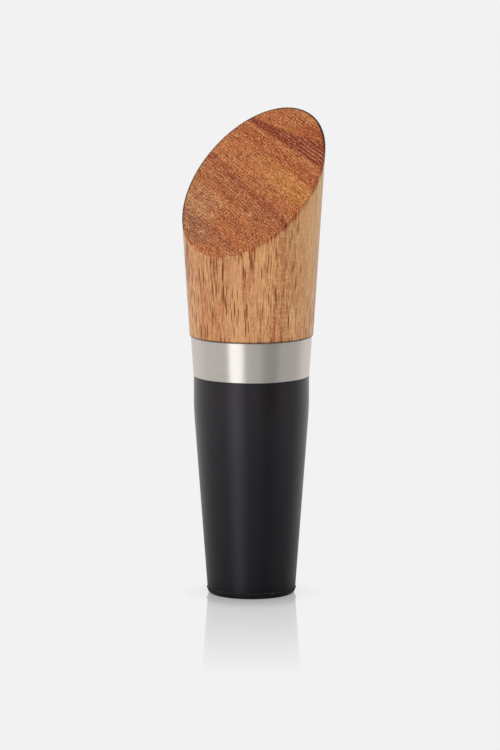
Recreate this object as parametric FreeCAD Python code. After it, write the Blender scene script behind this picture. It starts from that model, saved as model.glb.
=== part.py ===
# Bottle stopper with a slant-cut wooden handle, a steel collar and a moulded rubber plug.
# Millimetres, +Z up. The origin is the centre of the plug's flat base, on the axis of the stopper.
# The slanted cut faces the front (-Y): its low side is at -Y and its tall side at +Y.
import FreeCAD, Part
import math
import os

from FreeCAD import Placement, Rotation, Vector

# Rubber plug, from its flat base up to the collar
plug_height = 43.0        # base to the collar's lower edge
tip_diameter = 17.2       # body just above the base edge, passes into an 18.5 mm bottle mouth
plug_diameter = 22.5      # straight band below the collar
band_height = 6.4         # straight band, before the taper begins
band_blend_radius = 60.0  # soft turn from the band into the taper
base_edge_radius = 0.8    # rounded edge round the flat base
parting_height = 1.05     # where the two halves of the mould met
parting_proud = 0.15      # how far the parting lip stands out of the body
parting_thickness = 0.3   # the lip's height at its root
plug_top_radius = 0.25    # softened edge against the collar

# Steel collar, one taper with the handle
collar_height = 7.8
collar_foot_diameter = 22.6
collar_wall = 1.2         # at the lower edge, where it is thinnest
collar_edge_radius = 0.12
side_taper_deg = 3.66     # half-angle of the handle's and the collar's sides

# Wooden handle
handle_overhang = 0.22    # how far the wood stands out over the collar
cut_height = 80.25        # where the slanted cut crosses the axis
cut_slope_deg = 44.0
spare_length = 10.0       # of the turned blank above the cut's tall side, sawn off with it
cut_rim_radius = 0.3      # sanded rim of the cut
foot_edge_radius = 0.3    # eased lower edge, above the collar
glue_gap = 0.05           # round the tenon, inside the collar

# Steel core stud, pressed into the handle and moulded into the plug
stud_diameter = 5.0       # shank in the handle
stud_in_handle = 24.0     # length above the plug's top face
stud_nose_chamfer = 0.8
ring_depth = 0.35         # barbed rings cut into the shank
ring_pitch = 2.5
ring_count = 7
ring_start = 4.0          # first ring above the plug's top face
flange_diameter = 12.0    # bears on the tenon's end face
flange_thickness = 1.6
core_diameter = 6.0       # shank in the plug
anchor_diameter = 11.0    # discs that key the stud into the rubber
anchor_thickness = 2.0
anchor_heights = (10.0, 22.0)  # undersides of the discs, above the base
core_edge_radius = 0.4
drill_clearance = 0.6     # free depth above the stud's nose

tip_radius = tip_diameter / 2
plug_radius = plug_diameter / 2
collar_top = plug_height + collar_height
taper = math.tan(math.radians(side_taper_deg))
slope = math.tan(math.radians(cut_slope_deg))
collar_foot_radius = collar_foot_diameter / 2
collar_head_radius = collar_foot_radius + taper * collar_height
bore_radius = collar_foot_radius - collar_wall
tenon_radius = bore_radius - glue_gap
handle_foot_radius = collar_head_radius + handle_overhang
stud_radius = stud_diameter / 2
core_radius = core_diameter / 2
flange_radius = flange_diameter / 2
anchor_radius = anchor_diameter / 2
stud_top = plug_height + stud_in_handle


def corner_arc(before, corner, after, radius):
    """The arc that rounds a corner of an outline, with its two tangent points."""
    to_before = (before - corner).normalize()
    to_after = (after - corner).normalize()
    half_angle = to_before.getAngle(to_after) / 2
    reach = radius / math.tan(half_angle)
    start = corner + to_before * reach
    end = corner + to_after * reach
    bisector = (to_before + to_after).normalize()
    centre_distance = radius / math.sin(half_angle)
    middle = corner + bisector * (centre_distance - radius)
    return start, Part.Arc(start, middle, end), end


def turned(outline):
    """A solid of revolution about Z. The outline lists (radius, height) or (radius, height, rounding)."""
    corners = [Vector(point[0], 0, point[1]) for point in outline]
    roundings = [point[2] if len(point) > 2 else 0.0 for point in outline]
    edges = []
    starts = []
    ends = []
    arcs = []
    for index, corner in enumerate(corners):
        if roundings[index] > 0:
            before = corners[index - 1]
            after = corners[(index + 1) % len(corners)]
            start, arc, end = corner_arc(before, corner, after, roundings[index])
        else:
            start, arc, end = corner, None, corner
        starts.append(start)
        arcs.append(arc)
        ends.append(end)
    for index in range(len(corners)):
        following = (index + 1) % len(corners)
        if arcs[index]:
            edges.append(arcs[index].toShape())
        edges.append(Part.LineSegment(ends[index], starts[following]).toShape())
    face = Part.Face(Part.Wire(edges))
    return face.revolve(Vector(0, 0, 0), Vector(0, 0, 1), 360)


def plug_body():
    """The plug's outside: flat base, rounded edge, parting lip, long taper and a straight band."""
    taper_top = plug_height - band_height
    widening = (plug_radius - tip_radius) / (taper_top - parting_height)
    lip_half = parting_thickness / 2
    return turned([
        (0, 0),
        (tip_radius, 0, base_edge_radius),
        (tip_radius, parting_height - lip_half),
        (tip_radius + parting_proud, parting_height),
        (tip_radius + widening * lip_half, parting_height + lip_half),
        (plug_radius, taper_top, band_blend_radius),
        (plug_radius, plug_height, plug_top_radius),
        (0, plug_height),
    ])


def core_stud():
    """One turned steel piece: rings that hold in the wood, a flange, and two discs keyed into the rubber."""
    lower_end = anchor_heights[0]
    outline = [(0, lower_end)]
    for underside in anchor_heights:
        if underside > lower_end:
            outline.append((core_radius, underside))
        outline.append((anchor_radius, underside, core_edge_radius))
        outline.append((anchor_radius, underside + anchor_thickness, core_edge_radius))
        outline.append((core_radius, underside + anchor_thickness))
    outline += [
        (core_radius, plug_height - flange_thickness),
        (flange_radius, plug_height - flange_thickness, core_edge_radius),
        (flange_radius, plug_height),
        (stud_radius, plug_height),
    ]
    for ring in range(ring_count):
        foot = plug_height + ring_start + ring * ring_pitch
        outline += [
            (stud_radius, foot),
            (stud_radius - ring_depth, foot + ring_depth),
            (stud_radius, foot + ring_pitch - ring_depth),
        ]
    outline += [
        (stud_radius, stud_top - stud_nose_chamfer),
        (stud_radius - stud_nose_chamfer, stud_top),
        (0, stud_top),
    ]
    return turned(outline)


def rubber_plug(stud):
    """The rubber is moulded round the stud, so its inside is the stud's own shape."""
    return plug_body().cut(stud)


def steel_collar():
    """A tapered ring that slips over the handle's tenon."""
    return turned([
        (bore_radius, plug_height),
        (collar_foot_radius, plug_height, collar_edge_radius),
        (collar_head_radius, collar_top, collar_edge_radius),
        (bore_radius, collar_top),
    ])


def wooden_handle():
    """A turned cone with a tenon below, cut off on the slant, its rim sanded round and drilled for the stud."""
    cut_top = (cut_height + slope * (handle_foot_radius - taper * collar_top)) / (1 - slope * taper)
    blank_top = cut_top + spare_length
    blank = turned([
        (0, plug_height),
        (tenon_radius, plug_height),
        (tenon_radius, collar_top),
        (handle_foot_radius, collar_top, foot_edge_radius),
        (handle_foot_radius + taper * (blank_top - collar_top), blank_top),
        (0, blank_top),
    ])
    span = 4 * blank_top
    waste = Part.makeBox(span, span, span, Vector(-span / 2, -span / 2, 0))
    waste.Placement = Placement(Vector(0, 0, cut_height), Rotation(Vector(1, 0, 0), cut_slope_deg))
    handle = blank.cut(waste)
    normal = Vector(0, -math.sin(math.radians(cut_slope_deg)), math.cos(math.radians(cut_slope_deg)))
    cut_face = max(handle.Faces, key=lambda face: face.CenterOfMass.dot(normal))
    handle = handle.makeFillet(cut_rim_radius, cut_face.Edges)
    drilled = Part.makeCylinder(stud_radius, stud_in_handle + drill_clearance, Vector(0, 0, plug_height))
    return handle.cut(drilled)


def main():
    os.makedirs("parts", exist_ok=True)
    stud = core_stud()
    nodes = {
        "wooden_handle": wooden_handle(),
        "steel_collar": steel_collar(),
        "rubber_plug": rubber_plug(stud),
        "core_stud": stud,
    }
    for name, shape in nodes.items():
        solid = shape if shape.ShapeType == "Solid" else shape.Solids[0]
        solid.exportStep(f"parts/{name}.step")
        box = solid.BoundBox
        print(name, "valid", solid.isValid(), "solids", len(shape.Solids), "volume", round(solid.Volume, 2),
              "height", round(box.ZMin, 3), round(box.ZMax, 3), "width", round(box.XLength, 3))


main()
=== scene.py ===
# %% [markdown]
# # A bottle stopper in wood, steel and rubber
# This lesson dresses one small product: a turned wooden handle cut off on the slant, a brushed
# steel collar and a long black rubber plug. The construction comes from a packed CAD model, which
# is loaded first and never changed. Everything here is in metres, in the model's own frame: the
# plug's flat base lies on z = 0, and the low side of the slant faces -Y.

# %% Load the fixed frame
import bpy
import math
from types import SimpleNamespace
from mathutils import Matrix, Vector


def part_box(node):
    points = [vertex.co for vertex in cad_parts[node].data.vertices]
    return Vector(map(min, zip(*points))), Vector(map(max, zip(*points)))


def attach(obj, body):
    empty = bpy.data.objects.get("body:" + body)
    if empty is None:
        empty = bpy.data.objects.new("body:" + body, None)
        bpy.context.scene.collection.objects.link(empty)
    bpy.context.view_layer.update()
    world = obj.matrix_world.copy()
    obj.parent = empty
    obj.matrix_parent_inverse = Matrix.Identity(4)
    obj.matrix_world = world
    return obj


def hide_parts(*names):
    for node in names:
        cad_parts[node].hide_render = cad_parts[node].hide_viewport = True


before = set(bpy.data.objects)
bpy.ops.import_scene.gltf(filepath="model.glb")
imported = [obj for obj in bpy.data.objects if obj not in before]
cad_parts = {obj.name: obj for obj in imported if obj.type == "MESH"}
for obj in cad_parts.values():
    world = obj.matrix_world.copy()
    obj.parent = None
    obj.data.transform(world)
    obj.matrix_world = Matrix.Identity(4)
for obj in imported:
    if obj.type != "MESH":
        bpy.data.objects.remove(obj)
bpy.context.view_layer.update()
print("pieces of the CAD model:", sorted(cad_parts))

# %% [markdown]
# ## Sizes
# The main sizes are read from the frame, so the looks can't drift away from the construction.
# A box gives heights. A radius is the largest distance from the axis of a node's corners between
# two heights. What neither of them shows, such as a rounding or a slope, is written as a number
# beside the piece that has it.

# %% Read the sizes from the frame
mm = 0.001


def widest(node, low, high):
    """The largest distance from the axis, of a CAD node's corners between two heights."""
    corners = [corner.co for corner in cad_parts[node].data.vertices]
    return max(corner.xy.length for corner in corners if low <= corner.z <= high)


def narrowest(node):
    """The smallest distance from the axis of a CAD node's corners, such as the bore of a ring."""
    return min(corner.co.xy.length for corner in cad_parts[node].data.vertices)


collar_low, collar_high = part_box("steel_collar")
plug_top = collar_low.z
collar_top = collar_high.z
bore_radius = narrowest("steel_collar")
print("heights in mm:", round(plug_top / mm, 2), round(collar_top / mm, 2))
print("collar's bore radius in mm:", round(bore_radius / mm, 2))

# %% [markdown]
# ## Writing node trees as sums
# A node tree is easiest to read as arithmetic. One small class stands for a node's output, and
# Python's operators on it add Math nodes, or Vector Math nodes where a vector takes part. The
# same class serves the shapes and the finishes, because both kinds of tree have those nodes.

# %% A socket that understands arithmetic
class Wire:
    """One output of a node. Sums with it add the nodes that work them out."""

    def __init__(self, graph, socket):
        self.graph = graph
        self.socket = socket

    def __add__(self, other):
        return self.graph.maths("ADD", self, other)

    def __radd__(self, other):
        return self.graph.maths("ADD", other, self)

    def __sub__(self, other):
        return self.graph.maths("SUBTRACT", self, other)

    def __rsub__(self, other):
        return self.graph.maths("SUBTRACT", other, self)

    def __mul__(self, other):
        return self.graph.maths("MULTIPLY", self, other)

    def __truediv__(self, other):
        return self.graph.maths("DIVIDE", self, other)


# %% [markdown]
# Every other node comes from one method. It takes the node's type, the settings that have to be
# made first, and the values or wires of its sockets. A socket is called by its identifier, its
# name or its place in the list.

# %% A graph that adds nodes
class Graph:
    """A node tree that is written as Python expressions."""

    def __init__(self, tree):
        self.tree = tree

    def find(self, sockets, key):
        if isinstance(key, int):
            return sockets[key]
        for socket in sockets:
            if socket.identifier == key:
                return socket
        return sockets[key]

    def fill(self, socket, value):
        if isinstance(value, Wire):
            self.tree.links.new(value.socket, socket)
        elif socket.type == "RGBA":
            socket.default_value = (*value[:3], 1.0)
        elif socket.type == "VECTOR" and isinstance(value, (int, float)):
            socket.default_value = (value, value, value)
        else:
            socket.default_value = value

    def node(self, kind, settings=None, values=None, output=0):
        made = self.tree.nodes.new(kind)
        for name, value in (settings or {}).items():
            setattr(made, name, value)
        for key, value in (values or {}).items():
            self.fill(self.find(made.inputs, key), value)
        return Wire(self, self.find(made.outputs, output)) if made.outputs else None

    def maths(self, operation, *values):
        vectors = [v for v in values if isinstance(v, Wire) and v.socket.type == "VECTOR"]
        kind = "ShaderNodeVectorMath" if vectors else "ShaderNodeMath"
        return self.node(kind, {"operation": operation}, dict(enumerate(values)))

    def vector(self, x, y, z):
        return self.node("ShaderNodeCombineXYZ", values={"X": x, "Y": y, "Z": z})

    def parts(self, vector):
        names = ("X", "Y", "Z")
        split = self.tree.nodes.new("ShaderNodeSeparateXYZ")
        self.tree.links.new(vector.socket, split.inputs[0])
        return [Wire(self, split.outputs[name]) for name in names]

    def dot(self, first, second):
        settings = {"operation": "DOT_PRODUCT"}
        return self.node("ShaderNodeVectorMath", settings, {0: first, 1: second}, "Value")

    def unit(self, vector):
        return self.node("ShaderNodeVectorMath", {"operation": "NORMALIZE"}, {0: vector})

    def clamp(self, value):
        return self.node("ShaderNodeClamp", values={"Value": value})


print("operators ready:", [name for name in vars(Wire) if name.startswith("__")])

# %% [markdown]
# ## Outlines
# Turned and moulded pieces start as an outline beside the axis: a few corners, some of them
# rounded. A rounded corner becomes an arc between its two tangent points. Each straight run also
# gets a row close to either end. Those rows hold the shading: without them the smooth light on a
# long flat run would bend towards the small rounding at its end.

# %% Round an outline's corners
holding_gap = 0.12 * mm


def arc_points(before, corner, after, radius):
    """Points of the arc that rounds a corner, from tangent point to tangent point."""
    to_before = (before - corner).normalized()
    to_after = (after - corner).normalized()
    half_angle = to_before.angle(to_after) / 2
    reach = radius / math.tan(half_angle)
    bisector = (to_before + to_after).normalized()
    centre = corner + bisector * (radius / math.sin(half_angle))
    start = corner + to_before * reach - centre
    end = corner + to_after * reach - centre
    sweep = start.angle(end)
    steps = max(4, math.ceil(sweep / math.radians(9)))
    points = []
    for step in range(steps + 1):
        share = step / steps
        towards_end = math.sin(share * sweep) / math.sin(sweep)
        towards_start = math.sin((1 - share) * sweep) / math.sin(sweep)
        points.append(centre + start * towards_start + end * towards_end)
    return points


def outline(corners, closed=False):
    """Every point of an outline whose corners are (radius, height) or (radius, height, rounding)."""
    places = [Vector((corner[0], corner[1])) for corner in corners]
    runs = []
    for index, place in enumerate(places):
        rounding = corners[index][2] if len(corners[index]) > 2 else 0
        if rounding:
            following = places[(index + 1) % len(places)]
            runs.append(arc_points(places[index - 1], place, following, rounding))
        else:
            runs.append([place])
    if closed:
        runs.append([runs[0][0]])
    points = list(runs[0])
    for run in runs[1:]:
        gap = run[0] - points[-1]
        if gap.length > 4 * holding_gap:
            hold = gap.normalized() * holding_gap
            points += [points[-1] + hold, run[0] - hold]
        points += run
    return points


square_corner = [(0, 0), (1, 0, 0.5), (1, 1)]
print("a square corner, rounded:", len(outline(square_corner)), "points")

# %% [markdown]
# ## Turning an outline in Geometry Nodes
# The collar and the plug follow one rule: an outline turned about the axis. The tree below makes
# a flat grid with one column for each step round and one row for each point of the outline, and
# moves every point of the grid to its place. Merging by distance then closes the seam and the
# poles. The number of steps round is a named input, so a rounder piece needs no new tree. First
# come the helpers that start a tree, lay the grid and end the tree.

# %% The start, the grid and the end of a tree
merging_distance = 0.001 * mm


def new_tree(name, inputs):
    """An empty tree with named inputs. Returns its graph and a wire for each input."""
    tree = bpy.data.node_groups.new(name, "GeometryNodeTree")
    tree.interface.new_socket("Geometry", in_out="OUTPUT", socket_type="NodeSocketGeometry")
    for label, kind in inputs.items():
        tree.interface.new_socket(label, in_out="INPUT", socket_type="NodeSocket" + kind)
    given = tree.nodes.new("NodeGroupInput")
    graph = Graph(tree)
    return graph, {label: Wire(graph, given.outputs[label]) for label in inputs}


def finish_tree(graph, geometry, material):
    """Closes the seam and the poles, and ends in Realize Instances and Set Material."""
    doubles = {"Geometry": geometry, "Distance": merging_distance}
    merged = graph.node("GeometryNodeMergeByDistance", values=doubles)
    realized = graph.node("GeometryNodeRealizeInstances", values={"Geometry": merged})
    painting = {"Geometry": realized, "Material": material}
    painted = graph.node("GeometryNodeSetMaterial", values=painting)
    graph.node("NodeGroupOutput", values={"Geometry": painted})


def grid_of(graph, columns, rows):
    """A grid with its columns counted round the axis, and the column and row of each point."""
    sheet = graph.node("GeometryNodeMeshGrid", values={"Vertices X": columns + 1, "Vertices Y": rows})
    index = graph.node("GeometryNodeInputIndex")
    column = graph.maths("FLOOR", (index + 0.5) / rows)
    return sheet, column, index - column * rows


# %% [markdown]
# The outline comes into the tree as a chain of edges. The tree asks how many points it has, and
# takes the point of each row by its number. Turning that point needs only a sine and a cosine.

# %% A tree that turns an outline
def point_count(graph, outline_mesh):
    """How many points an outline has."""
    counted = {"Geometry": outline_mesh}
    return graph.node("GeometryNodeAttributeDomainSize", values=counted, output="Point Count")


def turned_outline(graph, outline_mesh, row, angle):
    """The outline's point for a row, turned about the axis by an angle."""
    position = graph.node("GeometryNodeInputPosition")
    point = graph.node(
        "GeometryNodeSampleIndex",
        {"data_type": "FLOAT_VECTOR", "domain": "POINT", "clamp": True},
        {"Geometry": outline_mesh, "Value": position, "Index": row},
    )
    radius, _, height = graph.parts(point)
    x = radius * graph.maths("COSINE", angle)
    y = radius * graph.maths("SINE", angle)
    return graph.vector(x, y, height)


def turning_tree():
    inputs = {"Outline": "Geometry", "Steps round": "Int", "Material": "Material"}
    graph, given = new_tree("Turned outline", inputs)
    rows = point_count(graph, given["Outline"])
    sheet, column, row = grid_of(graph, given["Steps round"], rows)
    angle = column / given["Steps round"] * math.tau
    place = turned_outline(graph, given["Outline"], row, angle)
    moved = graph.node("GeometryNodeSetPosition", values={"Geometry": sheet, "Position": place})
    finish_tree(graph, moved, given["Material"])
    return graph.tree


turning = turning_tree()
print("nodes in the turning tree:", len(turning.nodes))

# %% [markdown]
# A tree works inside a modifier. The next helper gives the modifier its inputs by each socket's
# identifier, takes the finished shape as a plain mesh, and removes the modifier, so that the piece
# is an ordinary mesh from then on. Edges sharper than an angle stay crisp, the rest is smooth. A
# second helper measures how well the piece fills the box of the CAD node that it stands for.

# %% Run a tree and keep its mesh
crisp_angle = math.radians(28)


def outline_mesh(name, points):
    """A chain of edges in the XZ plane, one for each step of an outline."""
    mesh = bpy.data.meshes.new(name)
    edges = [(index, index + 1) for index in range(len(points) - 1)]
    mesh.from_pydata([(point.x, 0, point.y) for point in points], edges, [])
    return mesh


def made_piece(name, points, tree, values):
    """Runs a tree on an outline and returns the piece as a plain mesh object at the origin."""
    piece = bpy.data.objects.new(name, outline_mesh(name + "_outline", points))
    bpy.context.scene.collection.objects.link(piece)
    modifier = piece.modifiers.new(tree.name, "NODES")
    modifier.node_group = tree
    for item in tree.interface.items_tree:
        if item.in_out == "INPUT" and item.name in values:
            modifier[item.identifier] = values[item.name]
    depsgraph = bpy.context.evaluated_depsgraph_get()
    mesh = bpy.data.meshes.new_from_object(piece.evaluated_get(depsgraph))
    piece.modifiers.clear()
    piece.data = mesh
    mesh.name = name
    mesh.materials.clear()
    mesh.materials.append(values["Material"])
    mesh.shade_smooth()
    mesh.set_sharp_from_angle(angle=crisp_angle)
    return piece


def compare(piece, node):
    """Prints how far a piece's box is from the CAD node's box, in thousandths of a millimetre."""
    low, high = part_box(node)
    corners = [corner.co for corner in piece.data.vertices]
    differences = []
    for axis in range(3):
        differences.append(min(corner[axis] for corner in corners) - low[axis])
        differences.append(max(corner[axis] for corner in corners) - high[axis])
    rounded = [round(difference / mm * 1000) for difference in differences]
    print(piece.name, "faces", len(piece.data.polygons), "box differs by", rounded)


# %% [markdown]
# ## Paint chips
# Colours are written as a paint chip's three numbers from 0 to 255, as a picture shows them.
# Shaders want linear light, so one function converts them.

# %% Colours as paint chips
def chip(red, green, blue):
    """A colour in linear light from a paint chip's numbers."""
    levels = [value / 255 for value in (red, green, blue)]
    return tuple(x / 12.92 if x <= 0.04045 else ((x + 0.055) / 1.055) ** 2.4 for x in levels)


print("a middle grey chip in linear light:", round(chip(128, 128, 128)[0], 3))

# %% [markdown]
# ## Finishes
# Each finish is a node tree with the same few helpers: noise, a soft step from one value to
# another, coats of colour and a bump. Its pattern is in millimetres of the object's own space, so
# it stays put when the object moves, and no piece has to be unwrapped.

# %% A finish and its helpers
class Finish(Graph):
    """A material's node tree, with the few helpers that the finishes share."""

    def __init__(self, name):
        self.material = bpy.data.materials.new(name)
        self.material.use_nodes = True
        self.material.node_tree.nodes.clear()
        super().__init__(self.material.node_tree)
        self.place = self.node("ShaderNodeTexCoord", output="Object") * (1 / mm)

    def mix(self, share, first, second):
        values = {"Factor_Float": share, "A_Color": first, "B_Color": second}
        return self.node("ShaderNodeMix", {"data_type": "RGBA"}, values, "Result_Color")

    def coats(self, colour, coats):
        """Lays coats over a colour. Each is a share, which says where it shows, and a tone."""
        for share, tone in coats:
            colour = self.mix(share, colour, tone)
        return colour

    def noise(self, vector, detail=2.0, roughness=0.5):
        values = {"Vector": vector, "Scale": 1.0, "Detail": detail, "Roughness": roughness}
        return self.node("ShaderNodeTexNoise", values=values)

    def rise(self, value, low, high):
        """0 below low, 1 above high and a smooth rise between them. With low above high it falls."""
        values = {"Value": value, "From Min": low, "From Max": high}
        return self.node("ShaderNodeMapRange", {"interpolation_type": "SMOOTHSTEP"}, values)

    def bump(self, height, depth, strength):
        values = {"Height": height, "Distance": depth, "Strength": strength}
        return self.node("ShaderNodeBump", values=values)

    def surface(self, **sockets):
        """Ends the tree in a Principled shader. The sockets' names are written with underscores."""
        values = {name.replace("_", " "): value for name, value in sockets.items()}
        shader = self.node("ShaderNodeBsdfPrincipled", values=values)
        self.node("ShaderNodeOutputMaterial", values={"Surface": shader})
        return self.material


# %% [markdown]
# ## Black rubber
# The plug is moulded in a matt black silicone rubber. Its colour is nearly black, and it takes its
# form from soft reflections with a trace of violet: a broad one left of the middle and pale ones at
# the sides. The mould's fine texture spreads them, so the bump is a small, even noise. The upper
# part is a little smoother from handling, and its colour is paler there: partly handling wear,
# partly a painted highlight for the brighter reflection on the straight band. The thin lip where
# the mould's halves met is duller, and holds a few pale specks, partly dust and partly painted
# glints.

# %% Rubber finish
parting_height = 1.05 * mm


def rubber_finish():
    finish = Finish("black_rubber")
    cloud = finish.noise(finish.place * 0.35, detail=3.0)
    height = finish.parts(finish.place)[2]
    # Smoother and paler at the top: the paler colour is partly handling wear, partly a painted
    # highlight
    handled_and_highlit = finish.rise(height + cloud * 8.0, 26.0, 46.0)
    texture = finish.noise(finish.place * 9.0, detail=2.0, roughness=0.6)
    colour = finish.mix(handled_and_highlit, chip(8, 9, 9), chip(24, 21, 20))
    lip = finish.rise(finish.maths("ABSOLUTE", height - parting_height / mm), 0.35, 0.1)
    roughness = 0.30 + cloud * 0.08 + texture * 0.06 - handled_and_highlit * 0.08 + lip * 0.35
    # Pale specks on the lip: partly dust, partly painted glints
    dust_and_glint_specks = finish.rise(finish.noise(finish.place * 2.6 + 4.0, detail=1.0), 0.69, 0.75)
    colour = finish.mix(dust_and_glint_specks * lip * 0.8, colour, chip(126, 126, 136))
    return finish.surface(
        Base_Color=colour,
        Roughness=roughness,
        Specular_IOR_Level=0.40,
        Specular_Tint=(0.87, 0.83, 1.0),
        Normal=finish.bump(texture, 0.004 * mm, 0.5),
    )


rubber = rubber_finish()
print("nodes in the rubber's finish:", len(rubber.node_tree.nodes))

# %% [markdown]
# ## Brushed steel
# The collar was brushed while it turned, so its fine lines run round it. Across the lines the
# light spreads wide, along them it stays sharp: that is anisotropy, and it draws the tall crisp
# bands that tell the eye "brushed". The lines themselves are noise that is stretched round the
# collar, in the tone, the roughness and a very shallow bump.

# %% Steel finish
def steel_finish(name, tint, roughness):
    finish = Finish(name)
    fine = finish.noise(finish.place * Vector((0.12, 0.12, 22.0)), detail=3.0, roughness=0.7)
    broad = finish.noise(finish.place * Vector((0.09, 0.09, 4.5)), detail=2.0)
    darker = [0.96 * level for level in tint]
    lighter = [1.03 * level for level in tint]
    tone = finish.mix(finish.rise(fine * 0.6 + broad * 0.4, 0.36, 0.64), darker, lighter)
    return finish.surface(
        Base_Color=tone,
        Metallic=1.0,
        Roughness=roughness + (fine - 0.5) * 0.06,
        Anisotropic=0.95,
        Anisotropic_Rotation=0.25,
        Normal=finish.bump(fine, 0.001 * mm, 0.5),
    )


collar_steel = steel_finish("brushed_steel", chip(209, 204, 199), 0.40)
stud_steel = steel_finish("turned_steel", chip(172, 171, 169), 0.36)
print("steel finishes:", collar_steel.name, stud_steel.name)

# %% [markdown]
# ## Oiled hardwood
# The handle is turned from one piece of oiled hardwood, with its grain along the axis. Solid wood
# has its pattern all through, so the finish is a pattern in space, and the slanted cut simply shows
# another section of it. A pattern laid on the surface would need a seam, and this needs none. First
# the place is turned so that x runs along the growth layers, y through them and z along the grain,
# in millimetres. The layers are nearly flat sheets that stand on edge and sway a little.

# %% The wood's own directions
layer_turn_deg = 23.0


class Wood(Finish):
    """A finish that knows the wood's directions, its broad tones and its paler sapwood."""

    def __init__(self, name):
        super().__init__(name)
        turn = {"Vector": self.place, "Rotation": (0, 0, math.radians(layer_turn_deg))}
        self.turned = self.node("ShaderNodeMapping", values=turn)
        self.along, self.through, self.along_grain = self.parts(self.turned)
        sway = self.stretched(0.05, 0.018, shift=3.1)
        waver = self.stretched(0.4, 0.05, detail=1.0)
        self.layer = self.through + (sway - 0.5) * 0.6 + (waver - 0.5) * 0.15
        self.broad = self.sheets(0.05, 0.40, 0.008, detail=2.0)
        bark_side = self.along * 0.84 + self.through * 0.54 + (self.broad - 0.5) * 3.0
        self.sapwood = self.rise(bark_side, 10.5, 14.0)

    def stretched(self, across, lengthwise, detail=2.0, roughness=0.5, shift=0.0):
        """Noise with one frequency across the grain and a lower one along it."""
        frequency = Vector((across, across, lengthwise))
        return self.noise(self.turned * frequency + shift, detail, roughness)

    def sheets(self, along, through, lengthwise, detail=0.0):
        """Noise that follows the layers, with a frequency for each of the wood's directions."""
        place = self.vector(self.along * along, self.layer * through, self.along_grain * lengthwise)
        return self.noise(place, detail)

    def near(self, place, outer, inner):
        """1 closer than inner to a layer's place, 0 further than outer."""
        return self.rise(self.maths("ABSOLUTE", self.layer - place), outer, inner)

    def band(self, place, half_width):
        """A stretch of layers with soft edges."""
        return self.near(place, half_width, half_width * 0.45)


# %% [markdown]
# Some layers are marked. A dark red band near the tall end opens up to the right, where thin pale
# and dark lines rule it. A second dark line, a golden stretch, dull ones and a worn grey patch near
# the low end follow. Each is a band at one place, and most of them fade out along the layers.

# %% Marked bands
def marked_bands(wood):
    """The marked layers by name, each 1 where the mark is strongest."""
    along, layer = wood.along, wood.layer
    bands = SimpleNamespace()
    phase = wood.noise(wood.turned * Vector((0.2, 0.6, 0.06)), detail=1.0)
    ruled = wood.maths("SINE", layer * 12.0 + phase * 4.0) * 0.5 + 0.5
    main = wood.band(9.5 + along * 0.1, 1.25 + along * 0.09)
    dark_line = wood.near(8.7 + along * 0.05, 0.8, 0.15)
    second_line = wood.near(-0.9 - along * 0.04, 0.9, 0.1)
    dark = wood.maths("MAXIMUM", main * (0.75 + ruled * 0.2), dark_line)
    bands.dark = wood.maths("MAXIMUM", dark, second_line * 0.55)
    bands.dark_rulings = main * wood.rise(ruled, 0.55, 0.95)
    pale_right = main * wood.rise(along, -2.0, 6.0) * wood.rise(layer - along * 0.1, 11.0, 10.0)
    pale_left = wood.band(0.6, 2.2) * wood.rise(along, 3.0, -5.0) * 0.45
    bands.pale_rulings = (pale_right + pale_left) * wood.rise(ruled, 0.4, 0.05)
    above_main = wood.band(11.9, 2.1) * (0.25 + wood.rise(along, -3.0, 5.0) * 0.95)
    bands.red = wood.band(6.2, 1.2) * 0.7 + above_main
    ruled_dull = wood.band(-2.3, 2.8) * (0.5 + ruled * 0.5)
    bands.dull = ruled_dull + wood.band(-6.3, 1.1) * 0.7 + wood.band(-10.0, 1.8) * 0.8
    bands.worn = wood.band(-10.9, 2.2) * wood.rise(along, 4.0, -4.0)
    bands.grey = wood.band(-7.4, 3.4) * wood.rise(along, 1.0, -6.0)
    tall_end = wood.rise(layer, 12.2, 13.4) * 0.3
    bands.golden = wood.band(3.9, 2.6) * wood.rise(along, -7.0, 6.0) + tall_end
    return bands


# %% [markdown]
# The small figure is the same wood seen closer. Fibres and streaks are noise that is stretched
# along the grain. Pores are thin tubes: each cell of a stretched cell pattern holds one, and the
# cell's chance gives its size, so the sides show dark dashes and the cut shows specks. Rays are
# thin sheets across the layers. On the cut, two wobbling rulings make the fine weave of the fibres.

# %% Fibres, pores and rays
def small_figure(wood):
    """The small marks of the wood by name."""
    along, layer = wood.along, wood.layer
    figure = SimpleNamespace()
    figure.lines = wood.sheets(0.5, 6.2, 0.03)
    figure.rays = wood.sheets(4.2, 0.5, 2.2)
    figure.grain = wood.stretched(5.0, 0.3, detail=1.0)
    figure.fibre = wood.stretched(5.6, 0.065, roughness=0.7)
    figure.streaks = wood.stretched(0.9, 0.025, roughness=0.6, shift=7.7)
    figure.sparks = wood.rise(wood.stretched(4.4, 0.3, detail=1.0, shift=11.0), 0.58, 0.70)
    wobble = wood.stretched(1.4, 0.1, detail=1.0)
    ridges = wood.maths("SINE", along * 8.8 + layer * 2.0 + wobble * 14.0)
    figure.weave = ridges + wood.maths("SINE", layer * 14.5 + wobble * 9.0)
    cell_place = wood.turned * Vector((3.0, 3.0, 0.10))
    cells = wood.node("ShaderNodeTexVoronoi", values={"Vector": cell_place, "Scale": 1.0})
    chance = wood.parts(Wire(wood, cells.socket.node.outputs["Color"]))[0]
    crowding = (figure.streaks - 0.5) * 0.45 + wood.band(-12.5, 4.5) * 0.05 - wood.sapwood * 0.14
    figure.pores = wood.rise(cells - chance * 0.22 - crowding, 0.175, 0.07)
    figure.open_ends = wood.rise(cells - chance * 0.2, 0.20, 0.08)
    return figure
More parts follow.
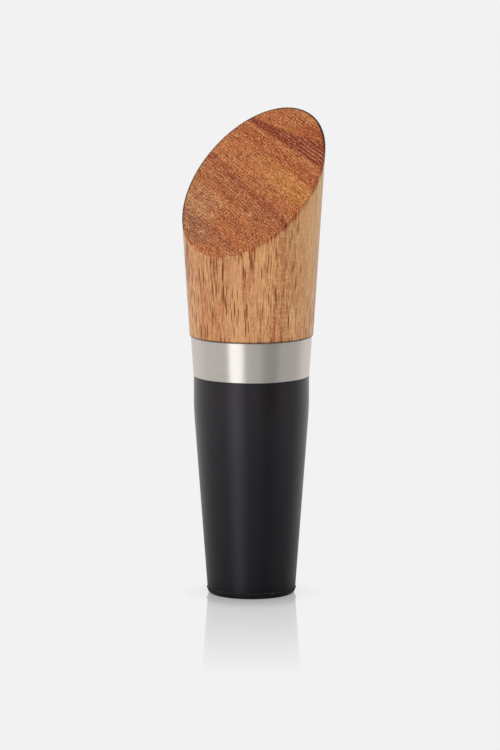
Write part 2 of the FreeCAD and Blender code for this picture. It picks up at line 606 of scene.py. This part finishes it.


# %% [markdown]
# The colours are laid on like coats: each has a share, which says where it shows, and a tone. The
# sides come first. They are pale and warm, with darker fibres and streaks, a duller strip, a painted
# shade under the tall end, a paler band across the middle that is partly a painted highlight, and
# the dark pores last.

# %% Tones of the sides
def side_colour(wood, bands, figure, height):
    """The long grain of the turned sides."""
    dull_strip = wood.rise(wood.maths("ABSOLUTE", wood.along - 4.9), 5.3, 3.3)
    dull_strip = dull_strip * wood.rise(wood.layer, -9.6, -10.6)
    # Painted shade: the side is darkened in a band of layers just under the tall end
    shade_under_rim = wood.band(2.3, 4.5) * wood.rise(height, 55.0, 64.0)
    return wood.coats(chip(235, 182, 123), [
        (wood.rise(figure.fibre, 0.38, 0.62), chip(176, 110, 60)),
        # A paler band lightens the middle of the side: partly the wood's tone, partly a painted
        # highlight
        (wood.band(-8.0, 3.6) * 0.35, chip(238, 190, 132)),
        (dull_strip * 0.3 + shade_under_rim * 0.3, chip(158, 88, 48)),
        (wood.rise(wood.broad, 0.44, 0.64) * 0.30, chip(186, 110, 62)),
        (wood.rise(figure.streaks, 0.52, 0.66) * 0.65, chip(164, 78, 42)),
        (wood.rise(figure.lines, 0.5, 0.70) * 0.22, chip(150, 88, 52)),
        (bands.dark * 0.4 + bands.dull * 0.1, chip(150, 80, 48)),
        (wood.sapwood * 0.55, chip(222, 177, 117)),
        (wood.rise(figure.rays, 0.52, 0.70) * 0.22, chip(240, 194, 136)),
        (figure.pores * 0.85, chip(98, 42, 20)),
    ])


# %% [markdown]
# The cut is end grain, which drinks more oil than the sides and turns redder and darker. Its bands
# get their tones first, and then the fine marks go over all of them, so that no band looks painted.

# %% Tones of the end grain
def end_grain_colour(wood, bands, figure):
    """The end grain of the slanted cut."""
    marks = (figure.grain - 0.5) * 0.55 + (figure.lines - 0.5) * 0.2 + figure.weave * 0.04
    lighter = 1 - bands.dark * 0.3
    return wood.coats(chip(179, 104, 55), [
        (wood.rise(wood.broad, 0.42, 0.62) * 0.25, chip(155, 80, 41)),
        (bands.golden * 0.8, chip(193, 124, 60)),
        (bands.red * 0.85, chip(154, 70, 26)),
        (bands.grey * 0.75, chip(188, 138, 98)),
        (bands.dull * 0.9, chip(155, 87, 52)),
        (bands.worn * 0.7, chip(140, 94, 73)),
        (bands.dark * 0.92, chip(123, 36, 14)),
        (bands.dark_rulings * 0.55, chip(84, 18, 6)),
        (bands.pale_rulings * 0.5, chip(208, 134, 102)),
        (wood.rise(marks, -0.03, 0.12) * 0.76, chip(90, 30, 4)),
        (wood.rise(marks, -0.03, -0.14) * lighter * 0.38, chip(240, 182, 142)),
        (figure.open_ends * 0.3, chip(92, 38, 12)),
        (figure.sparks * lighter * 0.36, chip(244, 190, 146)),
    ])


# %% [markdown]
# Two attributes of the handle's mesh say where the surface is: one is 0 on the side and 1 on the
# cut, the other is 1 on the rim between them. The border of the end grain is uneven, and to the
# right, where the rim was sanded more, it runs over onto the side. The high part of the rim, which
# turns away, and the edge above the collar, where the wood overhangs the steel, get a painted
# shade. The sides are oiled to a soft shine, which is a coat, and the open end grain and the pores
# stay matt.

# %% The hardwood finish
def hardwood_finish():
    wood = Wood("oiled_hardwood")
    bands = marked_bands(wood)
    figure = small_figure(wood)
    across, depth, height = wood.parts(wood.place)
    cut_face = wood.node("ShaderNodeAttribute", {"attribute_name": "cut_face"}, output="Fac")
    edge = wood.node("ShaderNodeAttribute", {"attribute_name": "rim"}, output="Fac")

    frayed = wood.rise(across * 0.98 - depth * 0.2, 3.0, 10.0)
    ragged = cut_face * (1 + (figure.grain - 0.5) * 2.0 + (figure.streaks - 0.5) * 2.5)
    cut = wood.rise(ragged, 0.28 - frayed * 0.26, 0.55 - frayed * 0.36)
    side = side_colour(wood, bands, figure, height)
    end_grain = end_grain_colour(wood, bands, figure)
    # Painted shade along the high part of the rim, where its rounding turns away
    shaded_far_rim = edge * wood.rise(depth * 0.85 - across * 0.5, -6.0, 6.0)
    # Painted shade on the wood's foot, just above the collar, where the overhang shades it
    seam = wood.rise(height, collar_top / mm + 0.45, collar_top / mm + 0.15)
    # Both painted shades darken the base colour towards chip(40, 22, 16)
    painted_shade = wood.maths("MAXIMUM", shaded_far_rim, seam * 0.8)
    return wood.surface(
        Base_Color=wood.mix(painted_shade, wood.mix(cut, side, end_grain), chip(40, 22, 16)),
        Roughness=0.55 + figure.pores * 0.2 + (figure.fibre - 0.5) * 0.15,
        Specular_IOR_Level=0.10,
        Coat_Weight=(1 - cut) * (1 - figure.pores) * (1 - edge) * 0.75,
        Coat_Roughness=0.40,
        Normal=wood.bump(figure.fibre * 0.3 - figure.pores, 0.03 * mm, 0.5),
    )


hardwood = hardwood_finish()
print("nodes in the hardwood's finish:", len(hardwood.node_tree.nodes))

# %% [markdown]
# ## The plug
# One moulding: a flat base with a soft edge, a thin lip where the two halves of the mould met, a
# long taper and a straight band below the collar. It is made as its outline turned about the
# axis. The steel core inside can't be seen, so this piece is only the outside of the rubber.

# %% Make the plug
base_edge_radius = 0.8 * mm
lip_half = 0.15 * mm
band_height = 6.4 * mm
band_blend_radius = 60.0 * mm
plug_top_radius = 0.25 * mm
steps_round = 256

band_radius = widest("rubber_plug", plug_top - band_height, plug_top)
tip_radius = widest("rubber_plug", base_edge_radius - 0.01 * mm, parting_height - 0.9 * lip_half)
lip_radius = widest("rubber_plug", 0, parting_height + 0.01 * mm)
taper_top = plug_top - band_height
plug_taper = (band_radius - tip_radius) / (taper_top - parting_height)
plug_outline = outline([
    (0, 0),
    (tip_radius, 0, base_edge_radius),
    (tip_radius, parting_height - lip_half),
    (lip_radius, parting_height),
    (tip_radius + plug_taper * lip_half, parting_height + lip_half),
    (band_radius, taper_top, band_blend_radius),
    (band_radius, plug_top, plug_top_radius),
    (0, plug_top),
])
plug_inputs = {"Steps round": steps_round, "Material": rubber}
plug = made_piece("plug", plug_outline, turning, plug_inputs)
compare(plug, "rubber_plug")

# %% [markdown]
# ## The collar
# A tapered ring that carries on the handle's slope. Both of its outer edges are barely broken,
# which gives a thin bright line above the rubber. It is the same tree with a closed outline.

# %% Make the collar
collar_edge_radius = 0.12 * mm
side_taper = math.tan(math.radians(3.66))

collar_head_radius = widest("steel_collar", collar_top - 2 * collar_edge_radius, collar_top)
collar_foot_radius = collar_head_radius - side_taper * (collar_top - plug_top - collar_edge_radius)
collar_outline = outline([
    (bore_radius, plug_top),
    (collar_foot_radius, plug_top, collar_edge_radius),
    (collar_foot_radius + side_taper * (collar_top - plug_top), collar_top, collar_edge_radius),
    (bore_radius, collar_top),
], closed=True)
collar_inputs = {"Steps round": steps_round, "Material": collar_steel}
collar = made_piece("collar", collar_outline, turning, collar_inputs)
compare(collar, "steel_collar")

# %% [markdown]
# ## The handle
# A cone cut by a slanted plane also follows a rule. At each step round, the cone and the plane
# meet at one sharp point, whose height comes from a formula. The real rim is sanded round, so the
# sharp point becomes the corner of an arc with one end on the cone and the other on the cut. The
# arc is written as a rational curve, which is a true circle when its middle weight is the sine of
# half the angle between the two surfaces.

# %% The rounded rim of a slanted cut
def on_cone(graph, given, point):
    """The place on the cone that lies level with a point, straight out from the axis."""
    x, y, z = graph.parts(point)
    outwards = graph.unit(graph.vector(x, y, 0.0))
    radius = given["Foot radius"] + given["Taper"] * (z - given["Foot height"])
    return outwards * radius + graph.vector(0.0, 0.0, z)


def rim_arc(graph, given, angle):
    """The sharp rim point, and the start, end and middle weight of the arc that rounds it."""
    taper = given["Taper"]
    slope = given["Cut slope"]
    sine = graph.maths("SINE", angle)
    cosine = graph.maths("COSINE", angle)
    cone_start = given["Foot radius"] - taper * given["Foot height"]
    height = (given["Cut height"] + slope * sine * cone_start) / (1 - slope * taper * sine)
    radius = cone_start + taper * height
    arc = SimpleNamespace(sharp=graph.vector(radius * cosine, radius * sine, height))
    side_normal = graph.unit(graph.vector(cosine, sine, taper * -1))
    cut_normal = graph.unit(graph.vector(0.0, slope * -1, 1.0))
    along_rim = graph.unit(graph.maths("CROSS_PRODUCT", side_normal, cut_normal))
    down_side = graph.maths("CROSS_PRODUCT", side_normal, along_rim)
    across_cut = graph.maths("CROSS_PRODUCT", along_rim, cut_normal)
    opening = graph.dot(down_side, across_cut)
    reach = given["Rim rounding"] * graph.maths("SQRT", (1 + opening) / (1 - opening))
    arc.weight = graph.maths("SQRT", (1 - opening) / 2)
    arc.start = on_cone(graph, given, arc.sharp + down_side * reach)
    arc.end = arc.sharp + across_cut * reach
    return arc


def point_on_arc(arc, share):
    """The arc's point at a share of the way from its start to its end."""
    start_weight = (1 - share) * (1 - share)
    middle_weight = share * (1 - share) * 2 * arc.weight
    end_weight = share * share
    weighted = arc.start * start_weight + arc.sharp * middle_weight + arc.end * end_weight
    return weighted / (start_weight + middle_weight + end_weight)


# %% [markdown]
# The handle's tree turns the outline of its foot first. The rows after that run up the cone, round
# the rim and across the cut to its middle, and they lie closer together where the shape turns. The
# tree also stores two attributes that the wood's finish reads: cut_face grows from 0 on the side to
# 1 on the cut, and rim is 1 on the rounding between them.

# %% A tree that turns a cone and cuts it on the slant
def slant_tree():
    sizes = ("Foot radius", "Foot height", "Taper", "Cut height", "Cut slope", "Rim rounding")
    counts = ("Steps round", "Side rows", "Rim rows", "Cut rows")
    inputs = {"Outline": "Geometry"}
    inputs.update(dict.fromkeys(sizes, "Float"))
    inputs.update(dict.fromkeys(counts, "Int"))
    inputs["Material"] = "Material"
    graph, given = new_tree("Slant-cut cone", inputs)
    foot_rows = point_count(graph, given["Outline"])
    rows = foot_rows + given["Side rows"] + given["Rim rows"] + given["Cut rows"]
    sheet, column, row = grid_of(graph, given["Steps round"], rows)
    angle = column / given["Steps round"] * math.tau
    arc = rim_arc(graph, given, angle)

    def between(first, second, share):
        return first + (second - first) * share

    # Each stretch of rows adds its own step to the one before, and adds nothing outside its rows
    foot = turned_outline(graph, given["Outline"], row, angle)
    side_start = turned_outline(graph, given["Outline"], foot_rows - 1, angle)
    side_share = graph.clamp((row - foot_rows + 1) / given["Side rows"])
    rim_share = graph.clamp((row - foot_rows - given["Side rows"] + 1) / given["Rim rows"])
    cut_share = graph.clamp((row - rows + given["Cut rows"] + 1) / given["Cut rows"])
    eased_side = 0.5 - graph.maths("COSINE", side_share * math.pi) * 0.5
    eased_cut = 1 - graph.maths("COSINE", cut_share * (math.pi / 2))
    side_point = on_cone(graph, given, between(side_start, arc.start, eased_side))
    rim_point = point_on_arc(arc, rim_share)
    middle = graph.vector(0.0, 0.0, given["Cut height"])
    cut_point = between(arc.end, middle, eased_cut)
    place = foot + (side_point - side_start) + (rim_point - arc.start) + (cut_point - arc.end)

    moved = graph.node("GeometryNodeSetPosition", values={"Geometry": sheet, "Position": place})
    near_rim = graph.clamp(side_share * 6 - 5)
    marks = {
        "cut_face": near_rim * 0.25 + rim_share * 0.35 + graph.clamp(cut_share * 3) * 0.4,
        "rim": graph.clamp(rim_share * 3) - graph.clamp(cut_share * 10),
    }
    marked = moved
    for name, value in marks.items():
        settings = {"data_type": "FLOAT", "domain": "POINT"}
        values = {"Geometry": marked, "Name": name, "Value": value}
        marked = graph.node("GeometryNodeStoreNamedAttribute", settings, values)
    finish_tree(graph, marked, given["Material"])
    return graph.tree


slanting = slant_tree()
print("nodes in the slant tree:", len(slanting.nodes))

# %% [markdown]
# The handle's lower end has a tenon that goes into the collar, and its wider shoulder stands out
# a little over the steel, with an eased edge. That stretch is an outline like the others.

# %% Make the handle
foot_edge_radius = 0.3 * mm
cut_rim_radius = 0.3 * mm
cut_height = 80.25 * mm
cut_slope = math.tan(math.radians(44.0))
tenon_gap = 0.05 * mm
handle_overhang = 0.22 * mm

foot_radius = collar_foot_radius + side_taper * (collar_top - plug_top) + handle_overhang
tenon_radius = bore_radius - tenon_gap
side_guide = 5 * mm
handle_outline = outline([
    (0, plug_top),
    (tenon_radius, plug_top),
    (tenon_radius, collar_top),
    (foot_radius, collar_top, foot_edge_radius),
    (foot_radius + side_taper * side_guide, collar_top + side_guide),
])[:-3]
handle = made_piece("handle", handle_outline, slanting, {
    "Foot radius": foot_radius,
    "Foot height": collar_top,
    "Taper": side_taper,
    "Cut height": cut_height,
    "Cut slope": cut_slope,
    "Rim rounding": cut_rim_radius,
    "Steps round": steps_round,
    "Side rows": 40,
    "Rim rows": 8,
    "Cut rows": 24,
    "Material": hardwood,
})
compare(handle, "wooden_handle")

# %% [markdown]
# ## The stud
# The steel core that holds wood and rubber together stays as the CAD made it. It is out of sight,
# and still gets a turned steel finish, so that the model is complete when it is taken apart.

# %% Finish the stud
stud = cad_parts["core_stud"]
for material_slot in stud.material_slots:
    material_slot.material = stud_steel
print("stud material slots:", [material_slot.material.name for material_slot in stud.material_slots])

# %% [markdown]
# ## Join the pieces to the frame
# Each new piece rides on the model's one body and stands for its CAD node, which is hidden. The
# name of the material slot that its finish stands for is printed beside it.

# %% Ride and replace
for piece, node, slot in (
    (plug, "rubber_plug", "plug_rubber"),
    (collar, "steel_collar", "collar_steel"),
    (handle, "wooden_handle", "wood"),
):
    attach(piece, "root")
    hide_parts(node)
    print(piece.name, "stands for", node, "with the slot", slot)

# %% [markdown]
# ## The studio
# A product shot like this is lit by large soft boxes in a white room. The world is that room:
# brightest in its two far corners, a little dimmer to the left and dimmest round the camera. A
# narrow black flag to the right of the camera gives steel its dark band. In front and at the sides
# the light is a touch warm. The background's even pale grey is only what a camera ray sees.

# %% The room
viewer_azimuth = math.radians(32.0)
to_viewer = Vector((math.sin(viewer_azimuth), -math.cos(viewer_azimuth), 0))
to_right = Vector((math.cos(viewer_azimuth), math.sin(viewer_azimuth), 0))
background = chip(242, 242, 242)
room_front = 0.60
room_left = 0.84
room_corners = 0.98
flag_azimuth = math.radians(37.0)
flag_level = -1.2
flag_rim = 0.93
flag_heart = 0.99
warm_green_loss = 0.025
warm_blue_loss = 0.06


def make_world():
    world = bpy.data.worlds.new("white_room")
    bpy.context.scene.world = world
    world.use_nodes = True
    world.node_tree.nodes.clear()
    graph = Graph(world.node_tree)
    direction = graph.node("ShaderNodeTexCoord", output="Generated")
    to_flag = to_viewer * math.cos(flag_azimuth) + to_right * math.sin(flag_azimuth)

    def blend(value, low, high, first, second):
        settings = {"interpolation_type": "SMOOTHSTEP"}
        ranges = {"From Min": low, "From Max": high, "To Min": first, "To Max": second}
        return graph.node("ShaderNodeMapRange", settings, {"Value": value, **ranges})

    near_side = blend(graph.dot(direction, to_right), -0.9, -0.3, room_left, room_front)
    sideways = graph.maths("ABSOLUTE", graph.dot(direction, to_right))
    far_side = blend(sideways, 0.5, 0.95, background[0], room_corners)
    room = blend(graph.dot(direction, to_viewer), -0.6, -0.1, far_side, near_side)
    level = blend(graph.dot(direction, to_flag), flag_rim, flag_heart, room, flag_level)
    camera_ray = graph.node("ShaderNodeLightPath", output="Is Camera Ray")
    level = graph.maths("MAXIMUM", level, 0.0) * (1 - camera_ray) + camera_ray * background[0]
    in_front = blend(graph.dot(direction, to_viewer), -0.2, 0.2, 0.0, 1.0)
    at_sides = blend(sideways, 0.2, 0.5, 0.0, 1.0)
    warmth = graph.maths("MAXIMUM", at_sides, in_front) * (1 - camera_ray)
    warm = graph.vector(1.0, 1.0 - warmth * warm_green_loss, 1.0 - warmth * warm_blue_loss)
    shade = graph.node("ShaderNodeBackground", values={"Color": warm, "Strength": level})
    graph.node("ShaderNodeOutputWorld", values={"Surface": shade})


make_world()
print("world:", bpy.context.scene.world.name)

# %% [markdown]
# The floor's finish answers the camera with the background's pale grey, a share of its real shading
# close to the stopper, so that the contact shadow stays, and a polish that fades out. The rays that
# steel and rubber mirror find it darker close to the base, as under a real stopper.

# %% The floor's finish
polish_reach = 79 * mm
polish_share = 0.345
contact_reach = 20 * mm
contact_share = 0.14
unseen_polish = 0.8
shadow_reach = 16 * mm
shadow_share = 0.3
shade_reach = 130 * mm
shade_share = 0.4
base_shade_reach = 9 * mm
base_shade_core = 3 * mm
base_shade_share = 0.3


def floor_finish():
    finish = Finish("pale_floor")
    x, y, _ = finish.parts(finish.place * mm)
    radius = finish.maths("SQRT", x * x + y * y)
    path = finish.tree.nodes.new("ShaderNodeLightPath")
    ray_names = ("Is Camera Ray", "Is Glossy Ray", "Is Transmission Ray")
    camera_ray, glossy_ray, through_ray = [Wire(finish, path.outputs[name]) for name in ray_names]
    faded = finish.clamp(1 - (radius - tip_radius) / (polish_reach - tip_radius)) * polish_share
    faded = faded + finish.rise(radius, contact_reach, tip_radius) * contact_share
    polish = camera_ray * faded + (1 - camera_ray) * unseen_polish
    shadow = finish.rise(radius, shadow_reach, tip_radius) * shadow_share
    flat = finish.node("ShaderNodeEmission", values={"Color": background, "Strength": 1.0})
    lit = finish.node("ShaderNodeBsdfDiffuse", values={"Color": (0.86, 0.86, 0.86)})
    mirror = finish.node("ShaderNodeBsdfGlossy", values={"Color": (1, 1, 1), "Roughness": 0.02})
    seen = finish.node("ShaderNodeMixShader", values={0: shadow, 1: flat, 2: lit})
    seen = finish.node("ShaderNodeMixShader", values={0: polish, 1: seen, 2: mirror})
    dark = finish.node("ShaderNodeEmission", values={"Color": background, "Strength": 0.0})
    far_shade = finish.rise(radius, shade_reach, tip_radius) * shade_share
    near_base = finish.rise(radius, tip_radius + base_shade_reach, tip_radius + base_shade_core)
    shade = (1 - camera_ray) * (far_shade + near_base * base_shade_share)
    seen = finish.node("ShaderNodeMixShader", values={0: shade, 1: seen, 2: dark})
    shown = finish.clamp(camera_ray + glossy_ray + through_ray)
    both = finish.node("ShaderNodeMixShader", values={0: shown, 1: lit, 2: seen})
    finish.node("ShaderNodeOutputMaterial", values={"Surface": both})
    return finish.material


pale_floor = floor_finish()
print("nodes in the floor's finish:", len(pale_floor.node_tree.nodes))

# %% [markdown]
# The floor is made twice from that finish, as two large squares a tenth of a millimetre apart. The
# camera sees only the upper one, and every other ray meets only the lower one. So a lamp can be
# kept off the floor that the camera sees and still light the one that steel and rubber mirror.

# %% The two floors
floor_half = 4.0
floor_gap = 0.1 * mm


def make_floor(name, height, material):
    mesh = bpy.data.meshes.new(name)
    signs = ((-1, -1), (1, -1), (1, 1), (-1, 1))
    mesh.from_pydata([(x * floor_half, y * floor_half, height) for x, y in signs], [], [(0, 1, 2, 3)])
    mesh.materials.append(material)
    floor = bpy.data.objects.new(name, mesh)
    bpy.context.scene.collection.objects.link(floor)
    return floor


seen_floor = make_floor("floor", 0, pale_floor)
seen_floor.visible_diffuse = False
seen_floor.visible_glossy = False
seen_floor.visible_transmission = False
seen_floor.visible_shadow = False
mirrored_floor = make_floor("mirrored_floor", -floor_gap, pale_floor)
mirrored_floor.visible_camera = False
print("floors:", seen_floor.name, mirrored_floor.name)

# %% [markdown]
# Two lamps light the stopper. A tall soft box at the left front draws the bright band on the collar
# and the soft one on the plug, and is a little cooler than the room. A wide one above lights the
# cut. Light linking keeps the left box off the upper floor, whose polish would mirror it.

# %% Soft boxes
aim = Vector((0, 0, 50 * mm))


def soft_box(name, azimuth_deg, elevation_deg, distance, size, radiance, colour):
    """A rectangular lamp that faces the stopper. Azimuths count from the viewer to the right."""
    data = bpy.data.lights.new(name, "AREA")
    data.shape = "RECTANGLE"
    data.size = size[0]
    data.size_y = size[1]
    data.energy = radiance * math.pi * size[0] * size[1]
    data.color = colour
    lamp = bpy.data.objects.new(name, data)
    bpy.context.scene.collection.objects.link(lamp)
    azimuth = math.radians(azimuth_deg)
    elevation = math.radians(elevation_deg)
    level = to_viewer * math.cos(azimuth) + to_right * math.sin(azimuth)
    direction = level * math.cos(elevation) + Vector((0, 0, 1)) * math.sin(elevation)
    lamp.location = aim + direction * distance
    lamp.rotation_mode = "QUATERNION"
    lamp.rotation_quaternion = direction.to_track_quat("Z", "Y")
    lamp.visible_camera = False
    print(name, "at", [round(value, 2) for value in lamp.location])
    return lamp


box_distance = 1.5
cool_white = (0.95, 0.97, 1.0)
plain_white = (1.0, 1.0, 1.0)
left_box = soft_box("left_box", -31, 24, box_distance, (0.75, 1.20), 2.02, cool_white)
soft_box("top_box", 20, 80, box_distance, (1.20, 1.20), 1.6, plain_white)

unlit = bpy.data.collections.new("not_lit_by_left_box")
unlit.objects.link(seen_floor)
unlit.collection_objects[0].light_linking.link_state = "EXCLUDE"
left_box.light_linking.receiver_collection = unlit

# %% [markdown]
# ## The camera
# A long lens from a metre away, a little above the stopper and looking slightly down. Its place,
# pitch and lens were found by matching the outlines of the collar, the plug and the cut.

# %% Place the camera
camera_distance = 1.0022
camera_height = 0.1941
camera_pitch = math.radians(8.575)
camera_step_right = -0.00028
lens_mm = 249.54

camera_data = bpy.data.cameras.new("camera")
camera_data.lens = lens_mm
camera_data.sensor_width = 36.0
camera_data.clip_start = 0.05
camera_data.clip_end = 20.0
camera = bpy.data.objects.new("camera", camera_data)
bpy.context.scene.collection.objects.link(camera)
bpy.context.scene.camera = camera
camera_foot = to_viewer * camera_distance + to_right * camera_step_right
camera.location = camera_foot + Vector((0, 0, camera_height))
looking = to_viewer * -math.cos(camera_pitch) - Vector((0, 0, 1)) * math.sin(camera_pitch)
camera.rotation_mode = "QUATERNION"
camera.rotation_quaternion = looking.to_track_quat("-Z", "Y")
bpy.context.scene.view_settings.view_transform = "Standard"
print("camera at", [round(value, 3) for value in camera.location], "with a lens of", lens_mm, "mm")
